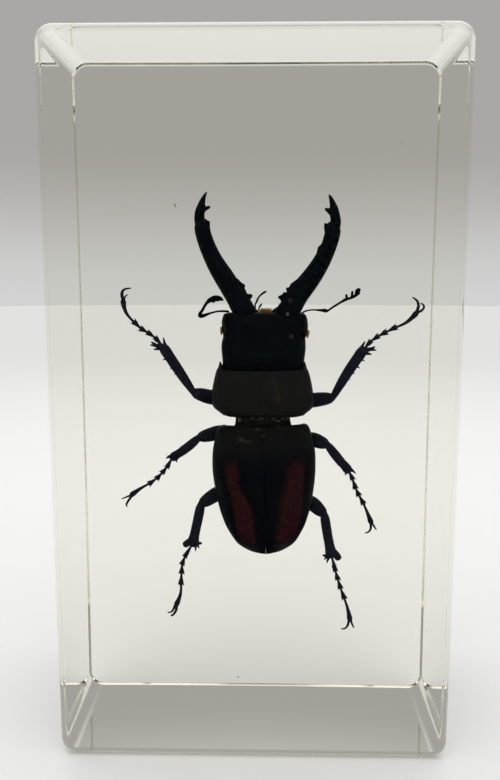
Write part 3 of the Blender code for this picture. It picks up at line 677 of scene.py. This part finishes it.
def oval(bm, centre, sizes, turn=0.0, index=0):
    """A rounded lump, its half sizes in millimetres, turned in the beetle's plane."""
    made = bmesh.ops.create_icosphere(bm, subdivisions=4, radius=MM)
    place = Matrix.Translation(spot(*centre)) @ Matrix.Rotation(turn, 4, "Y")
    place = place @ Matrix.Diagonal((*sizes, 1.0))
    bmesh.ops.transform(bm, matrix=place, verts=made["verts"])
    for vertex in made["verts"]:
        for face in vertex.link_faces:
            face.material_index = index


def plate(bm, edge, depth, thickness):
    """A flat plate with this edge, across and up."""
    faces = [[bm.verts.new(aim(x, depth + side * thickness / 2, z)) for x, z in edge]
             for side in (-1, 1)]
    for face in faces:
        bm.faces.new(face)
    for i in range(len(edge)):
        j = (i + 1) % len(edge)
        bm.faces.new((faces[0][i], faces[0][j], faces[1][j], faces[1][i]))


def ring_of(sides, up, middle, half, front, behind):
    """One rounded oval across the body."""
    ring = []
    for i in range(sides):
        turn = 2 * math.pi * i / sides
        wide = math.copysign(abs(math.cos(turn)) ** (2 / SQUARENESS), math.cos(turn))
        deep = math.copysign(abs(math.sin(turn)) ** (2 / SQUARENESS), math.sin(turn))
        ring.append(spot(middle + half * wide, deep * (behind if deep > 0 else front), up))
    return ring


def melted(obj, voxel, rounds):
    """The object's overlapping shells grown into one smooth skin."""
    skin = obj.modifiers.new("skin", "REMESH")
    skin.mode = "VOXEL"
    skin.voxel_size = voxel * MM
    soft = obj.modifiers.new("soft", "SMOOTH")
    soft.iterations = rounds
    bpy.context.view_layer.update()
    whole = obj.evaluated_get(bpy.context.evaluated_depsgraph_get())
    mesh = bpy.data.meshes.new_from_object(whole)
    obj.modifiers.clear()
    obj.data = mesh
    return obj


def added(obj, bm):
    """The object with more shells joined to its mesh."""
    extra = mesh_of(bm, "extra")
    whole = bmesh.new()
    whole.from_mesh(obj.data)
    whole.from_mesh(extra)
    whole.to_mesh(obj.data)
    whole.free()
    bpy.data.meshes.remove(extra)
    return obj


def finished(obj, materials, slot, *nodes):
    """A piece of the beetle: smooth, painted and in place of its nodes."""
    bm = bmesh.new()
    bm.from_mesh(obj.data)
    bmesh.ops.recalc_face_normals(bm, faces=bm.faces)
    bm.to_mesh(obj.data)
    bm.free()
    for material in materials:
        obj.data.materials.append(material)
    obj.data.shade_smooth()
    obj.data.set_sharp_from_angle(angle=SHARP_ANGLE)
    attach(obj, "root")
    if nodes:
        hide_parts(*nodes)


def plain(name, colour):
    """A dull material with a faint mottle."""
    material, nodes, links, shader = principled(name, Roughness=0.6, Specular_IOR_Level=0.1)
    place = nodes.new("ShaderNodeTexCoord")
    mottle = nodes.new("ShaderNodeTexNoise")
    mottle.inputs["Scale"].default_value = SPECK_SCALE
    tone = nodes.new("ShaderNodeMix")
    tone.data_type = "RGBA"
    tone.inputs["A"].default_value = (*(c * 0.5 for c in colour), 1.0)
    tone.inputs["B"].default_value = (*(c * 1.5 for c in colour), 1.0)
    links.new(place.outputs["Object"], mottle.inputs["Vector"])
    links.new(mottle.outputs["Fac"], tone.inputs["Factor"])
    links.new(tone.outputs["Result"], shader.inputs["Base Color"])
    return material


def chitin(name, dark, light, roughness=SHEEN):
    """Beetle shell: near black, faintly mottled and finely pitted."""
    material, nodes, links, shader = principled(name, Specular_IOR_Level=CHITIN_SHINE)
    place = nodes.new("ShaderNodeTexCoord")
    mottle = nodes.new("ShaderNodeTexNoise")
    mottle.inputs["Scale"].default_value = MOTTLE_SCALE
    mottle.inputs["Detail"].default_value = MOTTLE_DETAIL
    tone = nodes.new("ShaderNodeMix")
    tone.data_type = "RGBA"
    tone.inputs["A"].default_value = (*dark, 1.0)
    tone.inputs["B"].default_value = (*light, 1.0)
    sheen = nodes.new("ShaderNodeMapRange")
    sheen.inputs["To Min"].default_value, sheen.inputs["To Max"].default_value = roughness
    pitting = nodes.new("ShaderNodeTexVoronoi")
    pitting.inputs["Scale"].default_value = 1.0 / (PIT_SIZE * MM)
    depth = nodes.new("ShaderNodeMapRange")
    depth.inputs["From Max"].default_value = PIT_SHARE
    relief = nodes.new("ShaderNodeBump")
    relief.inputs["Strength"].default_value = PIT_STRENGTH
    relief.inputs["Distance"].default_value = PIT_DEPTH * MM
    for node in (mottle, pitting):
        links.new(place.outputs["Object"], node.inputs["Vector"])
    links.new(mottle.outputs["Fac"], tone.inputs["Factor"])
    links.new(mottle.outputs["Fac"], sheen.inputs["Value"])
    links.new(sheen.outputs["Result"], shader.inputs["Roughness"])
    links.new(tone.outputs["Result"], shader.inputs["Base Color"])
    links.new(pitting.outputs["Distance"], depth.inputs["Value"])
    links.new(depth.outputs["Result"], relief.inputs["Height"])
    links.new(relief.outputs["Normal"], shader.inputs["Normal"])
    return material


def curve_of(nodes, links, source, points):
    """A value that follows these points along the source value."""
    curve = nodes.new("ShaderNodeFloatCurve")
    line = curve.mapping.curves[0]
    line.points[0].location = points[0]
    line.points[1].location = points[-1]
    for x, y in points[1:-1]:
        line.points.new(x, y)
    curve.mapping.update()
    links.new(source, curve.inputs["Value"])
    return curve.outputs["Value"]


def sum_maker(nodes, links):
    """A function that puts one sum on two values, each a socket or a number."""
    def make_sum(operation, first, second):
        node = nodes.new("ShaderNodeMath")
        node.operation = operation
        for socket, value in zip(node.inputs, (first, second)):
            if isinstance(value, (int, float)):
                socket.default_value = value
            else:
                links.new(value, socket)
        return node.outputs["Value"]
    return make_sum


def ramp_of(nodes, links, source, low, high):
    """A soft step from 0 at low to 1 at high."""
    step = nodes.new("ShaderNodeMapRange")
    step.interpolation_type = "SMOOTHSTEP"
    step.inputs["From Min"].default_value = low
    step.inputs["From Max"].default_value = high
    links.new(source, step.inputs["Value"])
    return step.outputs["Result"]


def wing_shell(side):
    """The wing cases: dark grey in front, blue black at the edges, with one dark red band each and a painted
    lavender sheen at the rear.
    """
    inner_edge, outer_edge, inner_fade = BANDS[side]
    material = chitin("dark_red_shell_" + side, *WING_TONES)
    nodes, links = material.node_tree.nodes, material.node_tree.links
    put = sum_maker(nodes, links)
    shader = next(node for node in nodes if node.type == "BSDF_PRINCIPLED")
    base = shader.inputs["Base Color"].links[0].from_socket
    place = nodes.new("ShaderNodeUVMap")
    place.uv_map = "wing"
    parts = nodes.new("ShaderNodeSeparateXYZ")
    links.new(place.outputs["UV"], parts.inputs["Vector"])
    grain = nodes.new("ShaderNodeTexNoise")
    grain.inputs["Scale"].default_value = BAND_GRAIN
    grain.inputs["Detail"].default_value = BAND_DETAIL
    where = nodes.new("ShaderNodeTexCoord")
    links.new(where.outputs["Object"], grain.inputs["Vector"])
    stir = put("SUBTRACT", grain.outputs["Fac"], 0.5)
    across = put("ADD", parts.outputs["X"], put("MULTIPLY", stir, STIR_ACROSS))
    along = parts.outputs["Y"]
    inner = curve_of(nodes, links, along, inner_edge)
    outer = curve_of(nodes, links, along, outer_edge)
    inside = ramp_of(nodes, links, put("SUBTRACT", across, inner), INNER_FADE_START, inner_fade)
    outside = ramp_of(nodes, links, put("SUBTRACT", outer, across), *OUTER_FADE)
    length = put("ADD", along, put("MULTIPLY", stir, STIR_ALONG))
    start = ramp_of(nodes, links, length, *START_FADE)
    end = put("SUBTRACT", 1.0, ramp_of(nodes, links, length, *END_FADE))
    mask = put("MULTIPLY", put("MULTIPLY", inside, outside), put("MULTIPLY", start, end))
    depth = ramp_of(nodes, links, grain.outputs["Fac"], *GRAIN_FADE)
    mask = put("MULTIPLY", mask, put("ADD", put("MULTIPLY", depth, GRAIN_SHARE), 1.0 - GRAIN_SHARE))
    front = put("SUBTRACT", 1.0, ramp_of(nodes, links, along, *FRONT_FADE))
    # A painted sheen near the rear of each wing case, towards its outer edge
    painted_sheen = put("MULTIPLY", ramp_of(nodes, links, length, *PAINTED_SHEEN_FADE),
               ramp_of(nodes, links, across, *PAINTED_SHEEN_ACROSS))
    for share, colour in ((front, WING_FRONT), (mask, WING_BAND), (painted_sheen, WING_PAINTED_SHEEN)):
        layer = nodes.new("ShaderNodeMix")
        layer.data_type = "RGBA"
        layer.inputs["B"].default_value = (*colour, 1.0)
        links.new(share, layer.inputs["Factor"])
        links.new(base, layer.inputs["A"])
        base = layer.outputs["Result"]
    links.new(base, shader.inputs["Base Color"])
    return material


def make_mandible(side, black):
    bm = bmesh.new()
    rows = []
    root_up, tip_up = JAWS[side][0][1], JAWS[side][-1][1]
    root_depth, tip_depth = JAW_DEPTHS
    for across, up, radius in JAWS[side]:
        share = (up - root_up) / (tip_up - root_up)
        rows.append((across, root_depth + (tip_depth - root_depth) * share, up, radius))
    sweep(bm, rows, sides=28, flat=0.86, steps=8)
    for edge, thickness in JAW_TEETH[side]:
        depth = min(rows, key=lambda row: abs(row[2] - edge[0][1]))[1]
        plate(bm, edge, depth, thickness)
    mandible = melted(new_object("beetle_mandible_" + side, mesh_of(bm, "mandible")), *JAW_SKIN)
    finished(mandible, [black], "black_chitin", "mandible_" + side)


def make_head(black, trims):
    bm = bmesh.new()
    bridge(bm, [ring_of(64, *row) for row in smooth(HEAD, 5)])
    for lump in HEAD_LUMPS:
        oval(bm, *lump)
    head = melted(new_object("beetle_head", mesh_of(bm, "head")), *HEAD_SKIN)
    bm = bmesh.new()
    for depth, sizes, index, places in EYE_PARTS:
        for x, z, turn in places:
            oval(bm, (x, depth, z), sizes, turn, index)
    for rows in PALPS:
        sweep(bm, rows, sides=10, steps=6)
    dice = random.Random(3)
    for _ in range(BRUSH_HAIRS):
        x = dice.uniform(*BRUSH_ACROSS)
        lean = dice.uniform(-0.35, 0.35)
        depth = dice.uniform(-0.5, 1.2)
        length = dice.uniform(0.45, 1.0)
        first = len(bm.faces)
        sweep(bm, ((x, depth, 16.9, 0.05), (x + lean * 0.4, depth - 0.05, 17.2 + length * 0.4, 0.035),
                   (x + lean, depth, 17.3 + length * 0.6, 0.01)), sides=5, steps=1)
        bm.faces.ensure_lookup_table()
        for face in bm.faces[first:]:
            face.material_index = BRUSH
    finished(added(head, bm), [black, *trims], "black_chitin", "head")


def make_pronotum(brown):
    bm = bmesh.new()
    bridge(bm, [ring_of(96, *row) for row in smooth(PRONOTUM, 6)])
    front_up, middle, front_half = PRONOTUM[-2][:3]
    for vertex in bm.verts:
        across, depth, up = vertex.co / MM - WAIST
        outward = max(abs(across - middle) - FRONT_CORNER_START, 0.0) / (front_half - FRONT_CORNER_START)
        if up > front_up - FRONT_CORNER_LENGTH:
            share = min((up - front_up + FRONT_CORNER_LENGTH) / FRONT_CORNER_LENGTH, 1.0)
            rise = FRONT_CORNER_RISE * outward * share
            vertex.co.z += rise * MM
            vertex.co.x -= math.copysign(FRONT_CORNER_LEAN * rise, across) * MM
        if depth < 0:
            groove = (math.exp(-((across - GROOVE_ACROSS) / GROOVE_WIDE) ** 2)
                      * math.exp(-((up - GROOVE_UP) / GROOVE_LONG) ** 4))
            vertex.co.y += GROOVE_DEPTH * groove * MM
    pronotum = new_object("beetle_pronotum", mesh_of(bm, "pronotum"))
    bm = bmesh.new()
    for sign in (-1, 1):
        rim = [(middle + sign * (half - SIDE_RIM_INSET), 0.05, up, SIDE_RIM)
               for up, middle, half, _, _ in PRONOTUM[1:-1]]
        sweep(bm, rim, sides=10, steps=6, place=spot)
    _, middle, half, front, _ = PRONOTUM[1]
    rim = []
    for t in [i / 12 for i in range(-11, 12)]:
        depth = -front * (1 - abs(t) ** SQUARENESS) ** (1 / SQUARENESS)
        rim.append((middle + half * t, depth, REAR_RIM_UP, REAR_RIM_RADIUS))
    sweep(bm, rim, sides=8, steps=2, place=spot)
    pronotum = melted(added(pronotum, bm), *BODY_SKIN)
    finished(pronotum, [brown], "brown_black_chitin", "pronotum")


def make_hindbody(black, brown):
    bm = bmesh.new()
    inset = SHELL + BELLY_CLEARANCE
    belly = [(up, middle, half - inset, front - inset, behind)
             for up, middle, half, front, behind in WING_CASES[2:-2]]
    bridge(bm, [ring_of(72, *row) for row in smooth((*NECK, *belly, BELLY_TIP), 8)])
    for vertex in bm.verts:
        across, depth, up = vertex.co / MM - WAIST
        if depth > 0:
            for seam in BELLY_SEAMS:
                dip = BELLY_SEAM_DEPTH * math.exp(-((up - seam) / BELLY_SEAM_WIDTH) ** 2)
                vertex.co.y -= dip * MM
    for lump in BELLY_LUMPS:
        for sign in (-1, 1):
            (x, y, z), sizes, turn = lump
            oval(bm, (sign * x, y, z), sizes, sign * turn)
    body = melted(new_object("beetle_hindbody", mesh_of(bm, "hindbody")), *BODY_SKIN)
    for face in body.data.polygons:
        face.material_index = int(face.center.z / MM - WAIST.z > NECK[-1][0])
    finished(body, [black, brown], "black_chitin", "hindbody")


def make_elytron(side, red):
    """A wing case, with a rim along its edge and its own map: across and along."""
    sign = -1 if side == "left" else 1
    bm = bmesh.new()
    rows = smooth(WING_CASES, 8)
    top, tip = WING_CASES[0][0], WING_CASES[-1][0]
    columns = 44
    layer = bm.loops.layers.uv.new("wing")
    grid = []
    for up, middle, half, front, _ in rows:
        line = []
        for i in range(columns + 1):
            turn = (i / columns) * math.pi / 2
            wide = math.sin(turn) ** (2 / SQUARENESS)
            high = max(math.cos(turn), 0.0) ** (2 / SQUARENESS)
            rim = RIM_HEIGHT * math.exp(-((wide - RIM_AT) / RIM_WIDTH) ** 2)
            seam = SEAM_HEIGHT * math.exp(-(wide / SEAM_WIDTH) ** 2)
            across = middle + sign * (SUTURE / 2 + (half - SUTURE / 2) * wide)
            depth = EDGE_DEPTH - (front + EDGE_DEPTH) * high - rim + seam
            line.append((bm.verts.new(spot(across, depth, up + WING_TILT * across)), wide))
        grid.append(line)
    for j in range(len(grid) - 1):
        for i in range(columns):
            corners = [(grid[j][i], j), (grid[j][i + 1], j),
                       (grid[j + 1][i + 1], j + 1), (grid[j + 1][i], j + 1)]
            face = bm.faces.new([vertex for (vertex, _), _ in corners])
            for loop, ((_, wide), row) in zip(face.loops, corners):
                loop[layer].uv = (wide, (rows[row][0] - top) / (tip - top))
    bm.normal_update()
    if sum(face.normal.y for face in bm.faces) > 0:
        bmesh.ops.reverse_faces(bm, faces=bm.faces)
    elytron = new_object("beetle_elytron_" + side, mesh_of(bm, "elytron"))
    shell = elytron.modifiers.new("shell", "SOLIDIFY")
    shell.thickness = SHELL * MM
    shell.offset = -1.0
    elytron.data.materials.append(red)
    elytron.data.shade_smooth()
    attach(elytron, "root")
    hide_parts("elytron_" + side)


def make_antenna(side, black):
    bm = bmesh.new()
    stem, leaves, club = ANTENNAE[side]
    sweep(bm, [(x, ANTENNA_DEPTH, z, r) for x, z, r in stem], sides=14, steps=5)
    for leaf in leaves:
        sweep(bm, [(x, ANTENNA_DEPTH, z, r) for x, z, r in leaf], sides=12, steps=4, flat=1.2)
    if club:
        plate(bm, club, ANTENNA_DEPTH, CLUB_THICKNESS)
    antenna = melted(new_object("beetle_antenna_" + side, mesh_of(bm, "antenna")), *ANTENNA_SKIN)
    finished(antenna, [black], "black_chitin", "antenna_" + side)


def between(a, b, share):
    return tuple(p + (q - p) * share for p, q in zip(a, b))


def on_shin(knee, shin, ankle, share):
    return between(knee, shin, share * 2) if share < 0.5 else between(shin, ankle, share * 2 - 1)


def skin_depth(rows, x, z):
    """How far in front the body's skin lies at this place."""
    for upper, lower in zip(rows, rows[1:]):
        if min(upper[0], lower[0]) <= z <= max(upper[0], lower[0]) and upper[0] != lower[0]:
            share = (z - upper[0]) / (lower[0] - upper[0])
            middle, half, front = (a + (b - a) * share for a, b in zip(upper[1:4], lower[1:4]))
            across = min(abs((x - middle) / half), 1.0)
            return -front * (1 - across ** SQUARENESS) ** (1 / SQUARENESS)
    return 0.0


def make_marks(materials):
    """Dry crumbs and films of air on the beetle, painted glints on its head, bubbles and lint in the resin,
    the silver of the air and bubbles a painted reflection.
    """
    bm = bmesh.new()
    for rows, marks in MARKS:
        for x, z, wide, high, turn, index in marks:
            depth = skin_depth(rows, x, z) if rows else BUBBLE_DEPTH
            if depth < 0:
                reach = depth / SIGHT_LENGTH
                x, z = x + (x - SIGHT_ACROSS) * reach, z + (z - SIGHT_UP) * reach
            oval(bm, (x, depth, z), (wide, SPECK_THICKNESS, high), turn, index)
    for line in LINT:
        first = len(bm.faces)
        sweep(bm, line, sides=6, steps=3)
        bm.faces.ensure_lookup_table()
        for face in bm.faces[first:]:
            face.material_index = LINT_SLOT
    finished(new_object("beetle_marks", mesh_of(bm, "marks")), materials, "black_chitin")


def make_leg(name, black):
    pair, side = name.split("_")[1:]
    points = LEGS[name]
    body, knee, shin, ankle = points[:4]
    joints = points[4:]
    sign = math.copysign(1.0, body[0])
    rise = HIP_RISE[pair]
    bm = bmesh.new()
    places = (
        (sign * HIP_ACROSS, body[1] + rise),
        (sign * (HIP_ACROSS + abs(body[0])) / 2, body[1] + rise * 0.4),
        body,
        between(body, knee, 0.6),
        between(body, knee, 0.92),
        knee,
    )
    thigh = [(x, depth, z, radius) for (x, z), (depth, radius) in zip(places, THIGH)]
    sweep(bm, thigh, sides=18, steps=6, flat=0.8)
    line = [on_shin(knee, shin, ankle, t) for t in SHIN_MARKS]
    sweep(bm, [(x, SHIN_DEPTH - SHIN_SLOPE * t, z, width)
               for (x, z), t, width in zip(line, SHIN_MARKS, SHIN_WIDTHS[pair])],
          sides=16, steps=6, flat=0.75)
    for radius, tip_radius, places in LEG_SPINES[name]:
        count = len(places) - 1
        sweep(bm, [(x, SPINE_DEPTH, z, radius + (tip_radius - radius) * i / count)
                   for i, (x, z) in enumerate(places)], sides=8, steps=3)
    last = ankle
    for joint, width in zip(joints, JOINT_WIDTHS):
        shape = (*JOINT_SHAPE, (0.85, 0.98 * width), (1.0, width))
        line = [between(last, joint, t) for t, _ in shape]
        sweep(bm, [(x, FOOT_DEPTH, z, radius) for (x, z), (_, radius) in zip(line, shape)],
              sides=12, steps=4, flat=0.85)
        way = Vector((joint[0] - last[0], joint[1] - last[1])).normalized()
        aside = Vector((-way[1], way[0]))
        for turn in (-1, 1):
            foot = Vector(joint) - way * 0.15 + aside * turn * width * 0.75
            tip = Vector(joint) + way * 0.32 + aside * turn * (width + 0.1)
            sweep(bm, ((foot[0], FOOT_DEPTH, foot[1], 0.12), (tip[0], FOOT_DEPTH, tip[1], 0.02)),
                  sides=6, steps=2)
        last = joint
    bend = JOINT_BENDS[name]
    middle = [between(last, joints[-1], t) for t, _ in LAST_JOINT]
    sweep(bm, [(x + bend[0] * math.sin(math.pi * t), FOOT_DEPTH, z + bend[1] * math.sin(math.pi * t), r)
               for (x, z), (t, r) in zip(middle, LAST_JOINT)], sides=12, steps=4, flat=0.85)
    for thick, claw in CLAWS[name]:
        count = len(claw) - 1
        sweep(bm, [(x, FOOT_DEPTH, z, thick + (CLAW_TIP - thick) * (i / count) ** 1.5)
                   for i, (x, z) in enumerate(claw)], sides=10, steps=5)
    dice = random.Random(name)
    for _ in range(LEG_HAIRS):
        share = dice.random()
        if share < 0.45:
            x, z = on_shin(knee, shin, ankle, dice.uniform(0.35, 1.0))
            depth, radius = SPINE_DEPTH, 0.75
            way = Vector((ankle[0] - knee[0], ankle[1] - knee[1])).normalized()
        else:
            number = dice.randrange(4)
            ends = (ankle, *joints)
            first, second = ends[number:number + 2]
            x, z = between(first, second, dice.uniform(0.5, 1.0))
            depth, radius = FOOT_DEPTH, 0.3
            way = Vector((second[0] - first[0], second[1] - first[1])).normalized()
        turn = dice.uniform(0.0, 2 * math.pi)
        aside = (Vector((-way[1], 0.0, way[0])) * math.cos(turn)
                 + Vector((0.0, 1.0, 0.0)) * math.sin(turn) * 0.8)
        start = Vector((x, depth, z)) + aside * radius * 0.8
        tip = start + (aside * 0.3 + Vector((way[0], 0.0, way[1])) * 0.6) * dice.uniform(0.5, 1.0)
        sweep(bm, ((*start, 0.03), (*tip, 0.01)), sides=4, steps=1)
    finished(new_object("beetle_" + name, mesh_of(bm, name)), [black], "black_chitin", name)


def main():
    scene = bpy.context.scene
    scene.view_settings.view_transform = "Standard"
    scene.cycles.max_bounces = BOUNCES
    scene.cycles.transmission_bounces = BOUNCES
    scene.cycles.glossy_bounces = BOUNCES
    make_camera()
    make_floor()
    make_world()
    make_block()
    black = chitin("black_shell", *BLACK_TONES)
    brown = chitin("brown_black_shell", *BROWN_TONES, roughness=BROWN_SHEEN)
    limb = chitin("limb_shell", *LIMB_TONES)
    for side in ("left", "right"):
        make_mandible(side, black)
        make_elytron(side, wing_shell(side))
        make_antenna(side, black)
    make_head(black, [chitin(name, *tones) for name, tones in TRIMS.items()])
    make_pronotum(brown)
    make_hindbody(black, brown)
    for name in LEGS:
        make_leg(name, limb)
    make_marks([plain(name, tone) for name, tone in SPECKS.items()])


main()
